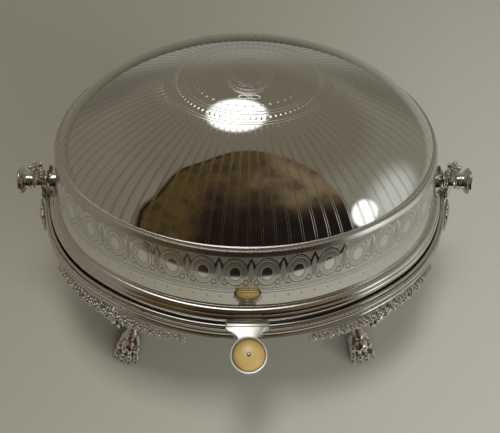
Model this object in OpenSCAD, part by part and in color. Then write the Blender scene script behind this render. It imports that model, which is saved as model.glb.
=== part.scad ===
// Oval breakfast dish with a roll-top cover that turns on two end pins.
// X runs from pin to pin, the thumbpiece is on the -Y side, Z is up and the table is at 0.

/* [Cover] */
// Half-length of the oval at the cover's lower edge
cover_half_l = 150; // [140:1:165]
// Half-width of the oval at the cover's lower edge
cover_half_w = 113; // [108:1:118]
// How much smaller the radius of the oval's end arcs is than its half-width
end_less = 18; // [16:1:22]
// Thickness of the plated sheet
sheet = 1.2; // [0.8:0.1:1.6]
// Height of the leaning band, from the lower edge to the dome
band_h = 60; // [54:1:64]
// How far the band's foot stands inside the lower edge
band_foot_in = 4.5; // [4:0.5:6]
// How far the band's top stands inside the lower edge
band_top_in = 17.5; // [16:0.5:20]
// Width of the ledge between the band and the dome
ledge_top_w = 2.5; // [2:0.1:4]
// How much nearer to the pivot axis the dome's top passes than the cover's edge does
dome_less = 0.5; // [0.5:0.5:6]
// Height of the moulding round the lower edge
edging_h = 13.5; // [10:0.5:16]
// Height of the two fillets on that ledge
fillet_h = 4.6; // [3:0.2:5]

/* [Pivots] */
// Height of the pivot axis above the cover's lower edge
axis_rise = 12; // [10:0.5:13]
// Diameter of the pivot pins
pin_d = 5; // [4:0.5:6]
// Gap round the pin inside the cover's bush
pin_clear = 0.05; // [0.02:0.01:0.1]
// Wall of the cover's bush
bush_wall = 2; // [1.5:0.5:2.5]
// Diameter of the bush's outer collar
collar_d = 15; // [13:0.5:16]
// Thickness of the collar outside the cover
collar_t = 1.3; // [1:0.1:1.5]
// End play between the turning bush and what stands beside it
end_play = 0.3; // [0.2:0.05:0.4]
// Diameter of the bracket's boss and of the knob's barrel
barrel_d = 11.6; // [10:0.2:12.6]
// Length of the bracket's boss
boss_l = 8.5; // [7:0.5:10]
// Length of the knob from the boss to its end
knob_l = 11; // [9:0.5:14]
// Diameter of the knob's end flange
flange_d = 19; // [16:0.5:21]

/* [Base] */
// Height of the cover's lower edge above the table
edge_z = 112; // [110:1:130]
// Sideways gap between the cover's lower edge and the rim
rim_gap = 1.8; // [1.4:0.1:2.4]
// Drop from the cover's lower edge to the rim's top
rim_drop = 2.2; // [2:0.1:3]
// Depth of the rim below the cover's lower edge
rim_depth = 14.6; // [13:0.2:17]
// Width of the rim, from its inner edge to its lowest fillet
rim_w = 4.4; // [4:0.2:5.5]
// Gap between the rolling cover and the bowl
bowl_gap = 2; // [1.6:0.1:2.6]
// Depth of the bowl's top edge below the cover's lower edge
bowl_edge_drop = 6; // [5:0.5:7]

/* [Legs] */
// Direction from the long axis in which each leg faces
leg_dir = 58; // [56:1:64]
// Width of a paw
paw_w = 22; // [18:1:26]
// Length of a paw
paw_l = 27; // [22:1:32]
// Diameter of the ankle
ankle_d = 9; // [8:0.5:12]
// Half-length of the garland that each leg carries under the rim
garland_l = 53; // [48:1:56]
// How far the garland's middle lies past the leg, towards the long side
garland_shift = 8; // [4:1:10]
// Number of rosettes in each half of a garland
garland_n = 7; // [7:1:9]
// Diameter of a garland's middle rosettes
garland_d = 13; // [12:0.5:14]
// Diameter of its last rosette at each tip
garland_tip_d = 8.2; // [8:0.2:10]

/* [Serving set] */
// Depth of the inner frame's ring below the pivot axis
frame_drop = 16; // [15:0.5:18]
// How far the ring's outer side stands inside the cover's lower edge
frame_in = 14.5; // [14:0.5:16]
// Width of the ring
frame_w = 3.5; // [3:0.5:5]
// Thickness of the ring
frame_t = 3; // [2:0.5:4]
// Depth of the liner
liner_depth = 45; // [35:1:46]
// How far the liner's wall leans in over its depth
liner_lean = 15; // [12:1:20]
// Depth of the ledge in the liner that carries the drainer
ledge_drop = 6; // [4:0.5:8]
// Gap between the serving pieces
serving_gap = 0.3; // [0.2:0.05:0.5]
// Diameter of the drainer's holes
drain_d = 5; // [3:0.5:6]
// Diameter of the drainer's two finger holes
finger_d = 20; // [18:1:24]

/* [Thumbpiece] */
// Width of the tab under the cover's edge
tab_w = 27; // [24:1:32]
// Width of the neck
neck_w = 11.6; // [9:0.2:13]
// Thickness of the tab and neck
tab_t = 1.7; // [1.4:0.1:1.8]
// Distance from the cover's edge to the middle of the disc
disc_reach = 24; // [22:0.5:28]
// Diameter of the ivory-coloured disc
disc_d = 21.8; // [18:0.2:24]
// Height of the disc's crown above its cup
disc_crown = 3; // [2:0.2:4]
// Slope of the disc towards the front
disc_tilt = 14; // [8:1:18]
// Wall of the cup that holds the disc
cup_wall = 1.3; // [1:0.1:1.6]

/* [Hidden] */
$fn = 96;

silver = [0.80, 0.80, 0.78];
ivory = [0.84, 0.74, 0.52];

// Four arcs make the oval: end arcs round (end_c, 0), side arcs round (0, side_c).
end_r = cover_half_w - end_less;
end_c = cover_half_l - end_r;
side_r = (pow(end_c, 2) + pow(cover_half_w, 2) - pow(end_r, 2)) / (2 * (cover_half_w - end_r));
side_c = side_r - cover_half_w;
join_a = atan2(side_c, end_c);

// How far an oval of four arcs, and an ellipse, reach from the middle in direction a.
function oval_reach(a) = a < join_a ? end_c * cos(a) + end_r : side_r - side_c * sin(a);
function ellipse_reach(a, half_l, half_w) = norm([half_l * cos(a), half_w * sin(a)]);
// How far such an ellipse stands outside the cover's lower edge where it stands out most.
function ellipse_out(half_l, half_w) = max([for (a = [0:2:90]) ellipse_reach(a, half_l, half_w) - oval_reach(a)]);

axis_z = edge_z + axis_rise;
// The side arcs run past their ends by a small angle and stand a hair proud of the end arcs,
// so that the four arcs join as one solid.
join_lap = 0.2;
join_step = 0.03;

// The band leans in evenly from its foot to its top. Under the dome the ledge runs on a little.
band_slope = (band_top_in - band_foot_in) / band_h;
ledge_under_w = 2.4;
function band_in(h) = band_foot_in + band_slope * h;

// The dome turns about an axis above the lower edge, through the band's top and its own top.
// Where its foot would reach past the ledge it moves in, so that it stays on the band.
dome_top = cover_half_w + axis_rise - dome_less;
ledge_spare = 0.6;
ledge_in_all = band_top_in + ledge_top_w;
foot_out = ellipse_out(cover_half_l - ledge_in_all, cover_half_w - ledge_in_all) + ledge_in_all;
dome_in = ledge_in_all + max(0, foot_out - ledge_spare);
dome_foot_l = cover_half_l - dome_in;
dome_foot_w = cover_half_w - dome_in;
dome_c = (pow(dome_top, 2) - pow(band_h, 2) - pow(dome_foot_w, 2)) / (2 * (dome_top - band_h));
dome_r = dome_top - dome_c;
dome_half_l = dome_foot_l / sqrt(1 - pow((band_h - dome_c) / dome_r, 2));

// The bowl is a half shell round the pivot axis, just outside what the cover sweeps.
sweep_r = max(norm([cover_half_w, axis_rise]), dome_top - axis_rise);
bowl_r = sweep_r + bowl_gap;
bowl_edge_z = edge_z - bowl_edge_drop;
bowl_edge_below = axis_rise + bowl_edge_drop;
bowl_half_l = (cover_half_l + rim_gap) / sqrt(1 - pow(bowl_edge_below / bowl_r, 2));

// Rim section, measured outwards from the cover's edge and up from the same level.
roll_r = 1.1;
bead_r = 0.95;
rim_in = rim_gap - 0.3;
roll_o = rim_in + roll_r;
bead_o = roll_o + roll_r + bead_r;
bead_z = -rim_drop - roll_r;
rim_fillet_h = 1.7;
band_o = bead_o + 0.3;
seat_clear = 0.1;
bowl_edge_l = (bowl_half_l + sheet) * sqrt(1 - pow(bowl_edge_below / (bowl_r + sheet), 2));
bowl_edge_w = sqrt(pow(bowl_r + sheet, 2) - pow(bowl_edge_below, 2));
seat_o = ellipse_out(bowl_edge_l, bowl_edge_w) + seat_clear;
seat_wall = 1.5;
rim_out = max(rim_gap + rim_w, seat_o + seat_wall);

// Stations along the pivot axis.
boss_in_x = cover_half_l + collar_t + end_play;
boss_out_x = boss_in_x + boss_l;
knob_end_x = boss_out_x + knob_l;
collar_in_x = cover_half_l - band_in(axis_rise) - sheet;
lug_t = 2.4;
lug_clear_in = 1.4;
frame_foot_below = frame_drop + frame_t;
lug_out_x = cover_half_l - band_in(axis_rise + frame_foot_below) - sheet - lug_clear_in + end_play;
lug_in_x = lug_out_x - lug_t;
lug_r = 5;
bush_in_x = lug_out_x + end_play;
bush_d = pin_d + 2 * (pin_clear + bush_wall);

leg_o = rim_gap + 1;
leg_top_z = edge_z - rim_depth;

frame_top_z = axis_z - frame_drop;
liner_lip_z = frame_top_z + sheet;
liner_lip_in = max(frame_in + 1, cover_half_l - lug_in_x + serving_gap);
liner_wall_in = frame_in + frame_w + serving_gap;
ledge_z = liner_lip_z - ledge_drop;
ledge_w = 4;
ledge_in = liner_wall_in + sheet + serving_gap;
liner_foot_z = frame_top_z - liner_depth;

petal_d = 3.9;
rosette_r = petal_d * 1.5;

cup_h = 4.5;
thumb_pin_d = 2;
disc_y = -(cover_half_w + disc_reach);
disc_z = edge_z - 2.4;
cup_d = disc_d + 2 * cup_wall;

function arc(cx, cy, r, from, to, steps) =
    [for (i = [0:steps]) let (a = from + (to - from) * i / steps) [cx + r * cos(a), cy + r * sin(a)]];

// Carries a section round the oval: its x counts outwards from the oval, its y is the height.
module around_oval() {
    for (turn = [0, 180])
        rotate([0, 0, turn]) {
            translate([end_c, 0, 0])
                rotate([0, 0, -join_a])
                    rotate_extrude(angle = 2 * join_a) translate([end_r, 0]) children();
            translate([0, -side_c, 0])
                rotate([0, 0, join_a - join_lap])
                    rotate_extrude(angle = 180 - 2 * join_a + 2 * join_lap)
                        translate([side_r + join_step, join_step]) children();
        }
}

// The oval itself, moved outwards by o.
module oval(o) {
    join_x = end_c + (end_r + o) * cos(join_a);
    for (side = [-1, 1])
        translate([side * end_c, 0]) circle(r = end_r + o);
    intersection() {
        translate([0, -side_c]) circle(r = side_r + o);
        translate([0, side_c]) circle(r = side_r + o);
        square([2 * join_x, 3 * cover_half_w], center = true);
    }
}

// A rounded body turned about the X axis.
module turned_half(half_l, r) {
    steps = 44;
    rotate([0, 90, 0])
        rotate_extrude()
            polygon([for (i = [0:steps]) [r * sin(180 * i / steps), half_l * cos(180 * i / steps)]]);
}

// Everything between two heights.
module layer(low, high) {
    size = 3 * cover_half_l;
    translate([-size / 2, -size / 2, low]) cube([size, size, high - low]);
}

module along_x(x) {
    translate([x, 0, axis_z]) rotate([0, 90, 0]) children();
}

module mirrored_x(side) {
    if (side < 0) mirror([1, 0, 0]) children();
    else children();
}

module dome_form(inside) {
    intersection() {
        translate([0, 0, edge_z + dome_c]) turned_half(dome_half_l - inside, dome_r - inside);
        layer(edge_z + band_h - sheet / 2, edge_z + 2 * dome_top);
    }
}

// One sheet: the leaning band with the dome above it, and a hole at each end for the bush.
module cover_shell() {
    color(silver)
        difference() {
            union() {
                translate([0, 0, edge_z])
                    around_oval()
                        polygon([[-band_in(0), 0], [-band_in(band_h), band_h],
                            [-dome_in - ledge_under_w, band_h], [-dome_in - ledge_under_w, band_h - sheet],
                            [-band_in(band_h) - sheet, band_h - sheet], [-band_in(0) - sheet, 0]]);
                difference() {
                    dome_form(0);
                    dome_form(sheet);
                }
            }
            for (side = [-1, 1])
                along_x(side * cover_half_l) cylinder(d = bush_d, h = 4 * band_top_in, center = true);
        }
}

// Moulding round the cover's lower edge: a low lip under one broad quarter round.
module cover_edging() {
    lip_h = 1.8;
    lip_in = 1.1;
    swell_w = band_in(edging_h) - lip_in - 0.6;
    swell_h = edging_h - lip_h - 0.8;
    color(silver)
        difference() {
            translate([0, 0, edge_z])
                around_oval()
                    polygon(concat(
                        [[-band_in(0), 0], [-0.3, 0], [0, 0.4], [0, lip_h - 0.3], [-0.4, lip_h],
                            [-lip_in, lip_h + 0.1]],
                        [for (a = [0:15:90]) [-lip_in - swell_w * (1 - cos(a)), lip_h + 0.8 + swell_h * sin(a)]],
                        [[-band_in(edging_h), edging_h]]));
            for (side = [-1, 1])
                along_x(side * cover_half_l) cylinder(d = collar_d, h = 2 * band_top_in, center = true);
        }
}

// Two fillets that cover the joint between the band and the dome.
module dome_fillet() {
    step = fillet_h / 2;
    low_o = -band_top_in - step / 2;
    high_o = low_o - step / 2;
    inner_o = -dome_in + 1;
    inner_top_o = high_o - step / 5;
    color(silver)
        translate([0, 0, edge_z + band_h])
            around_oval()
                polygon(concat(
                    arc(low_o, step / 2, step / 2, -90, 60, 6),
                    arc(high_o, step * 1.5, step / 2, -60, 90, 6),
                    [[inner_top_o, fillet_h], [inner_o, 0]]));
}

// Bush that turns with the cover on the fixed pin, with a collar and three leaves outside the cover.
module bush(side) {
    leaf_r = 3;
    outer_x = boss_in_x - end_play;
    color(silver)
        mirrored_x(side)
            difference() {
                union() {
                    along_x(bush_in_x) cylinder(d = bush_d, h = outer_x - bush_in_x);
                    difference() {
                        union() {
                            along_x(collar_in_x) cylinder(d = collar_d, h = outer_x - collar_in_x);
                            for (lean = [-36, 0, 36])
                                translate([0, 0, axis_z])
                                    rotate([lean, 0, 0])
                                        translate([collar_in_x - leaf_r, 0, collar_d / 2 + leaf_r / 2])
                                            rotate([0, 90, 0]) cylinder(r = leaf_r, h = leaf_r + 4);
                        }
                        translate([0, 0, edge_z])
                            around_oval()
                                polygon([[-3 * band_top_in, 0], [-band_in(0), 0],
                                    [-band_in(band_h), band_h], [-3 * band_top_in, band_h]]);
                    }
                }
                along_x(0) cylinder(d = pin_d + 2 * pin_clear, h = 2 * cover_half_l);
            }
}

// Tab under the cover's front edge, neck over the rim and cup for the disc, in one casting.
module thumb_plate() {
    tab_in = 3 * tab_t;
    tab_out = rim_out + 0.65 * tab_t;
    corner = tab_w / 11;
    flare = neck_w / 8;
    cup_in = cup_d / 8;
    color(silver)
        difference() {
            union() {
                translate([0, 0, edge_z - tab_t])
                    linear_extrude(tab_t)
                        polygon([[-tab_w / 2, -cover_half_w + tab_in], [tab_w / 2, -cover_half_w + tab_in],
                            [tab_w / 2, -cover_half_w - tab_out + corner],
                            [tab_w / 2 - corner, -cover_half_w - tab_out],
                            [neck_w / 2 + flare, -cover_half_w - tab_out - 0.4 * flare],
                            [neck_w / 2, -cover_half_w - tab_out - 1.6 * flare],
                            [neck_w / 2, disc_y + cup_d / 2 - cup_in], [-neck_w / 2, disc_y + cup_d / 2 - cup_in],
                            [-neck_w / 2, -cover_half_w - tab_out - 1.6 * flare],
                            [-neck_w / 2 - flare, -cover_half_w - tab_out - 0.4 * flare],
                            [-tab_w / 2 + corner, -cover_half_w - tab_out],
                            [-tab_w / 2, -cover_half_w - tab_out + corner]]);
                at_disc() translate([0, 0, -cup_h / 2]) cylinder(d = cup_d, h = cup_h);
            }
            at_disc() translate([0, 0, -cup_h / 2 + cup_wall]) cylinder(d = disc_d, h = cup_h);
            at_disc() translate([0, 0, cup_h / 2]) cylinder(d = cup_d + 2 * cup_wall, h = cup_h);
        }
}

module at_disc() {
    translate([0, disc_y, disc_z]) rotate([disc_tilt, 0, 0]) children();
}

// Ivory-coloured disc with a low crown, drilled for its pin.
module thumb_disc() {
    crown_r = (pow(disc_d / 2, 2) + pow(disc_crown, 2)) / (2 * disc_crown);
    color(ivory)
        at_disc()
            difference() {
                union() {
                    translate([0, 0, -cup_h / 2 + cup_wall]) cylinder(d = disc_d, h = cup_h - cup_wall);
                    intersection() {
                        translate([0, 0, cup_h / 2 + disc_crown - crown_r]) sphere(r = crown_r);
                        translate([0, 0, cup_h / 2]) cylinder(d = disc_d, h = disc_crown + 1);
                    }
                }
                cylinder(d = thumb_pin_d, h = 4 * cup_h, center = true);
            }
}

// Pin through the disc, with a small domed head.
module thumb_pin() {
    head_d = 3;
    foot = -cup_h / 2 + cup_wall;
    color(silver)
        at_disc() {
            translate([0, 0, foot]) cylinder(d = thumb_pin_d, h = cup_h / 2 - foot + disc_crown);
            translate([0, 0, cup_h / 2 + disc_crown])
                intersection() {
                    sphere(d = head_d);
                    translate([0, 0, head_d / 4]) cube([head_d, head_d, head_d / 2], center = true);
                }
        }
}

// Rim of the base: a bright roll, a bead, a hollow band and two fillets. Its lip sits on the bowl's edge.
module base_rim() {
    fillet_r = rim_fillet_h / 2;
    fillet_o = rim_out - fillet_r;
    color(silver)
        translate([0, 0, edge_z])
            around_oval()
                polygon(concat(
                    [[rim_in, -bowl_edge_drop], [rim_in, bead_z]],
                    arc(roll_o, bead_z, roll_r, 180, 10, 8),
                    arc(bead_o, bead_z - 0.2, bead_r, 140, -50, 8),
                    [[band_o, bead_z - 1.6], [band_o, -rim_depth + 2 * rim_fillet_h + 1],
                        [fillet_o, -rim_depth + 2 * rim_fillet_h]],
                    arc(fillet_o, -rim_depth + 3 * fillet_r, fillet_r, 90, -60, 5),
                    arc(fillet_o, -rim_depth + fillet_r, fillet_r, 60, -90, 5),
                    [[seat_o, -rim_depth], [seat_o, -bowl_edge_drop]]));
}

// Lower half shell, turned about the pivot axis, that the open cover rolls into.
module bowl() {
    color(silver)
        intersection() {
            translate([0, 0, axis_z])
                difference() {
                    turned_half(bowl_half_l + sheet, bowl_r + sheet);
                    turned_half(bowl_half_l, bowl_r);
                }
            layer(axis_z - 2 * bowl_r, bowl_edge_z);
        }
}

// Casting on the end of the rim: boss for the pin, rosette above it, strap and two berry sprays below.
module bracket(side) {
    strap_w = 9;
    strap_t = 2.4;
    foot_t = rim_w - 0.6;
    strap_x = cover_half_l + rim_out;
    foot_z = edge_z - rim_drop;
    drop_z = edge_z - rim_depth - 2;
    strap_top_z = axis_z - barrel_d / 4;
    color(silver)
        mirrored_x(side)
            difference() {
                union() {
                    along_x(boss_in_x) cylinder(d = barrel_d, h = boss_l);
                    translate([strap_x - foot_t, -strap_w / 2, foot_z])
                        cube([foot_t + strap_t, strap_w, strap_top_z - foot_z]);
                    translate([strap_x, -strap_w / 2, drop_z])
                        cube([strap_t, strap_w, strap_top_z - drop_z]);
                    for (way = [-1, 1])
                        mirror([0, way < 0 ? 1 : 0, 0]) berry_spray();
                    translate([boss_in_x + rosette_r + end_play, 0, axis_z + barrel_d / 2]) rosette();
                }
                along_x(0) cylinder(d = pin_d, h = 2 * cover_half_l);
            }
}

// Flower on a short stalk, clear of the collar that turns beside it and of the knob.
module rosette() {
    petals = 6;
    stalk_d = 2.4;
    disc_h = 1.2;
    disc_low = petal_d / 2 + 0.3 - disc_h / 2;
    translate([0, 0, -1]) cylinder(d = stalk_d, h = disc_low + 1.5);
    translate([0, 0, disc_low]) {
        cylinder(r = petal_d, h = disc_h);
        for (i = [0:petals - 1])
            rotate([0, 0, i * 360 / petals]) translate([petal_d, 0, disc_h / 2]) sphere(d = petal_d, $fn = 24);
        translate([0, 0, disc_h]) sphere(d = petal_d, $fn = 24);
    }
}

// Berries that follow the rim down and away from the strap, largest before the tip.
module berry_spray() {
    berries = 11;
    small_r = 1.5;
    big_r = 2.7;
    pitch = 2.4;
    spray_o = rim_out + big_r;
    top_z = edge_z - rim_depth + 3 * small_r;
    for (i = [0:berries - 1]) {
        swell = sin(180 * pow((i + 0.5) / berries, 1.8));
        facing(dir_at(i * pitch, spray_o), spray_o)
            translate([0, 0, top_z - 0.55 * i * pitch]) sphere(r = small_r + (big_r - small_r) * swell, $fn = 24);
    }
}

// Pin fixed in the bracket and the frame's lug, turned in one piece with its knob.
module pivot_pin(side) {
    flange_t = 3;
    neck_d = barrel_d - 2;
    r = barrel_d / 2;
    color(silver)
        mirrored_x(side)
            along_x(0)
                rotate_extrude()
                    polygon(concat(
                        [[0, lug_in_x], [pin_d / 2, lug_in_x], [pin_d / 2, boss_out_x], [r - 0.5, boss_out_x],
                            [r, boss_out_x + 0.5], [r, knob_end_x - flange_t - 2.5],
                            [neck_d / 2, knob_end_x - flange_t - 2], [neck_d / 2, knob_end_x - flange_t - 1]],
                        arc(flange_d / 2 - 1.5, knob_end_x - 1.5, 1.5, -90, 90, 8),
                        [[flange_d / 2 - 3, knob_end_x], [flange_d / 2 - 3.8, knob_end_x - 0.8], [0, knob_end_x - 0.4]]));
}

// Direction, on the oval moved outwards by o, in which the surface faces at angle a.
function oval_point(a, o) = a < join_a
    ? [end_c + (end_r + o) * cos(a), (end_r + o) * sin(a)]
    : [(side_r + o) * cos(a), (side_r + o) * sin(a) - side_c];

module facing(a, o) {
    p = oval_point(a, o);
    translate([p[0], p[1], 0]) rotate([0, 0, a]) children();
}

module ball(x, y, z, d) {
    translate([x, y, z]) sphere(d = d, $fn = 10);
}

// Distance along the oval moved outwards by o, from the long axis to where it faces direction a.
function walk_to(a, o) = (min(a, join_a) * (end_r + o) + max(a - join_a, 0) * (side_r + o)) * PI / 180;

// The other way round: the direction that it faces after a distance s.
function dir_at(s, o) = let (end_s = walk_to(join_a, o))
    (min(s, end_s) / (end_r + o) + max(s - end_s, 0) / (side_r + o)) * 180 / PI;

// Cast leg: a paw with four toes, a slender ankle and a knee under the rim.
module leg_form() {
    knee_z = leg_top_z - 14;
    toe_d = paw_w / 3.4;
    toe_x = rim_out - leg_o - toe_d / 2;
    heel_x = toe_x - paw_l + ankle_d;
    ankle_z = 36;
    shank_x = heel_x / 3;
    pad_d = 0.6 * paw_w;
    translate([heel_x + 0.37 * paw_l, 0, 0]) cylinder(d = pad_d, h = ankle_d, $fn = 24);
    for (i = [-1.5:1:1.5])
        hull() {
            translate([toe_x - abs(i) * 1.6, i * toe_d * 0.98, 0]) cylinder(d = toe_d, h = 5, $fn = 10);
            ball(toe_x - abs(i) * 1.6 - 1.5, i * toe_d * 0.95, 5.5, toe_d);
            ball(heel_x + 2, i * toe_d * 0.35, 15, toe_d);
        }
    hull() {
        ball(heel_x + 1, 0, 14, ankle_d + 2);
        ball(heel_x, 0, ankle_z, ankle_d);
        translate([heel_x + 1, 0, 0]) cylinder(d = ankle_d, h = 3, $fn = 10);
    }
    hull() {
        ball(heel_x, 0, ankle_z, ankle_d);
        ball(shank_x, 0, knee_z - 12, ankle_d + 1);
    }
    hull() {
        ball(shank_x, 0, knee_z - 12, ankle_d + 1);
        ball(1.5, 0, knee_z, ankle_d + 4);
        translate([1.2, 0, leg_top_z - 1]) cylinder(d = 4, h = 1, $fn = 10);
    }
}

// Rosettes that follow the rim's lower edge both ways, smaller towards each tip.
module garland_form() {
    rosette_t = 4;
    garland_o = leg_o + 0.3;
    pitch = garland_l / garland_n;
    middle = walk_to(leg_dir, garland_o) + garland_shift;
    for (way = [-1, 1], i = [0:garland_n - 1]) {
        d = garland_d - (garland_d - garland_tip_d) * i / (garland_n - 1);
        facing(dir_at(middle + way * (i + 0.5) * pitch, garland_o), garland_o)
            translate([0, 0, leg_top_z - d / 2]) rotate([0, 90, 0]) cylinder(d = d, h = rosette_t, $fn = 12);
    }
}

// Leg and garland in one casting, in the quarter given by the two signs.
module leg(side_x, side_y) {
    color(silver)
        mirror([side_x < 0 ? 1 : 0, 0, 0])
            mirror([0, side_y < 0 ? 1 : 0, 0]) {
                facing(leg_dir, leg_o) leg_form();
                garland_form();
            }
}

// Oval ring that carries the liner, hung on the two pins by its lugs.
module inner_frame() {
    foot_l = lug_t + 5;
    color(silver)
        difference() {
            union() {
                translate([0, 0, frame_top_z - frame_t])
                    around_oval() translate([-frame_in - frame_w, 0]) square([frame_w, frame_t]);
                for (side = [-1, 1])
                    mirrored_x(side) {
                        along_x(lug_in_x) cylinder(r = lug_r, h = lug_t);
                        translate([lug_in_x, -lug_r, frame_top_z - frame_t])
                            cube([lug_t, 2 * lug_r, frame_drop + frame_t]);
                    }
            }
            for (side = [-1, 1])
                along_x(side * lug_out_x) cylinder(d = pin_d, h = 4 * lug_t, center = true);
        }
}

// Pan that rests by its lip on the frame's ring, with a ledge for the drainer.
module liner() {
    step_in = ledge_in + ledge_w;
    foot_in = step_in + liner_lean;
    color(silver) {
        around_oval()
            polygon([[-liner_lip_in, frame_top_z], [-liner_lip_in, liner_lip_z],
                [-liner_wall_in - sheet, liner_lip_z], [-liner_wall_in - sheet, ledge_z], [-step_in, ledge_z],
                [-foot_in, liner_foot_z + sheet], [-foot_in - sheet, liner_foot_z + sheet],
                [-foot_in - sheet, liner_foot_z], [-foot_in + sheet, liner_foot_z],
                [-step_in + sheet, ledge_z - sheet], [-liner_wall_in, ledge_z - sheet],
                [-liner_wall_in, frame_top_z]]);
        translate([0, 0, liner_foot_z]) linear_extrude(sheet) oval(-foot_in - sheet / 2);
    }
}

// Flat pierced plate on the liner's ledge, with rings of holes and two finger holes.
module drainer() {
    drain_t = 1.5;
    rings = 3;
    ring_step = 16;
    ring_stretch = 1.35;
    holes = 12;
    finger_x = cover_half_l - ledge_in - finger_d - 4;
    color(silver)
        translate([0, 0, ledge_z + join_step])
            linear_extrude(drain_t)
                difference() {
                    oval(-ledge_in);
                    for (side = [-1, 1])
                        translate([side * finger_x, 0]) circle(d = finger_d);
                    circle(d = drain_d);
                    for (k = [1:rings], i = [0:holes - 1])
                        let (a = 360 * (i + k / 2) / holes)
                            translate([k * ring_step * ring_stretch * cos(a), k * ring_step * sin(a)])
                                circle(d = drain_d);
                }
}

cover_shell();
cover_edging();
dome_fillet();
bush(1);  // bush_right
bush(-1);  // bush_left
thumb_plate();
thumb_disc();
thumb_pin();
base_rim();
bowl();
bracket(1);  // bracket_right
bracket(-1);  // bracket_left
pivot_pin(1);  // pivot_pin_right
pivot_pin(-1);  // pivot_pin_left
leg(1, -1);  // leg_front_right
leg(-1, -1);  // leg_front_left
leg(1, 1);  // leg_back_right
leg(-1, 1);  // leg_back_left
inner_frame();
liner();
drainer();
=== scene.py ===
"""Looks of the oval breakfast dish with a roll-top cover.

Shapes are worked out in mm and stored in metres.
"""
import math

import bmesh
import bpy
from mathutils import Matrix, Vector


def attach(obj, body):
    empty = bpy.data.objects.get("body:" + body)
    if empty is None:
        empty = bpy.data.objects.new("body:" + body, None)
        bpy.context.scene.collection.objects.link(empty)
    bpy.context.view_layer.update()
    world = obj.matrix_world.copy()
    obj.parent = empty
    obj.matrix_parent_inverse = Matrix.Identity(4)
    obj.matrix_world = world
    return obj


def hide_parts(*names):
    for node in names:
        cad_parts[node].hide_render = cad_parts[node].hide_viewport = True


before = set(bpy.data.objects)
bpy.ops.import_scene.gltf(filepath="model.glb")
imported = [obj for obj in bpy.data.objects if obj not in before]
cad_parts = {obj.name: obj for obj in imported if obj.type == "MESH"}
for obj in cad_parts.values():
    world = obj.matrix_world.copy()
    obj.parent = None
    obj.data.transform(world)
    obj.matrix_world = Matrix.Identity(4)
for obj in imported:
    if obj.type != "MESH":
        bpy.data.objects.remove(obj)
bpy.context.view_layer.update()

MM = 0.001
TURN = 2 * math.pi

# The oval, the cover, the bowl and the pivots, as in the solids. Heights on the cover and the
# rim count from the cover's edge.
HALF_L, HALF_W, END_R = 150.0, 113.0, 95.0
EDGE_Z, AXIS_Z = 112.0, 124.0
BAND_H, BAND_FOOT_IN, BAND_TOP_IN, DOME_IN = 60.0, 4.5, 17.5, 20.0
DOME_TOP, SHEET = 124.5, 1.2
END_C = HALF_L - END_R
SIDE_R = (END_C**2 + HALF_W**2 - END_R**2) / (2 * (HALF_W - END_R))
SIDE_C = SIDE_R - HALF_W
JOIN = math.atan2(SIDE_C, END_C)
DOME_FOOT_L, DOME_FOOT_W = HALF_L - DOME_IN, HALF_W - DOME_IN
DOME_C = (DOME_TOP**2 - BAND_H**2 - DOME_FOOT_W**2) / (2 * (DOME_TOP - BAND_H))
DOME_R = DOME_TOP - DOME_C
DOME_L = DOME_FOOT_L / math.sqrt(1 - ((BAND_H - DOME_C) / DOME_R) ** 2)
BOWL_R, BOWL_MOUTH_L, BOWL_MOUTH_Z = 115.63, 151.8, EDGE_Z - 6
BOWL_L = BOWL_MOUTH_L / math.sqrt(1 - ((AXIS_Z - BOWL_MOUTH_Z) / BOWL_R) ** 2)
RIM_LOW = -14.6
BOSS_IN_X, BOSS_OUT_X, KNOB_END_X = 151.6, 160.1, 171.1

# What is engraved and struck: how many of each go round the cover or the rim, where the
# frieze begins, in ovals, and the half-axes of the ring of ornament on the dome.
STRIPES, FRIEZE_OVALS, FRIEZE_DOTS, RING_BEADS, RIM_BEADS = 90, 36, 84, 84, 432
FRIEZE_PHASE, RING_L, RING_W = 0.909, 52, 35

# How much the cover's ends are drawn out, at the top of the band and on the dome.
END_DRAW, DOME_DRAW = 0.016, 0.027

# The legs' direction, and how far out the garlands' spacing and the beads' are measured.
LEG_FACING, GARLAND_OUT, BEAD_WALK_OUT = math.radians(58), 4.0, 4.65

# Steps in each of the four arcs of a moulding that runs round the oval.
ARC_STEPS = 56


def band_in(h):
    """How far inside the oval the frieze band stands, h over the cover's edge."""
    return BAND_FOOT_IN + (BAND_TOP_IN - BAND_FOOT_IN) / BAND_H * h


# ---------------------------------------------------------------- finishes


class Num:
    """A number in a material: expressions on it add Math nodes."""

    def __init__(self, finish, socket):
        self.finish, self.socket = finish, socket

    def __add__(self, other):
        return self.finish.math("ADD", self, other)

    def __radd__(self, other):
        return self.finish.math("ADD", other, self)

    def __sub__(self, other):
        return self.finish.math("SUBTRACT", self, other)

    def __rsub__(self, other):
        return self.finish.math("SUBTRACT", other, self)

    def __mul__(self, other):
        return self.finish.math("MULTIPLY", self, other)

    def __rmul__(self, other):
        return self.finish.math("MULTIPLY", other, self)

    def __truediv__(self, other):
        return self.finish.math("DIVIDE", self, other)

    def __rtruediv__(self, other):
        return self.finish.math("DIVIDE", other, self)


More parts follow.
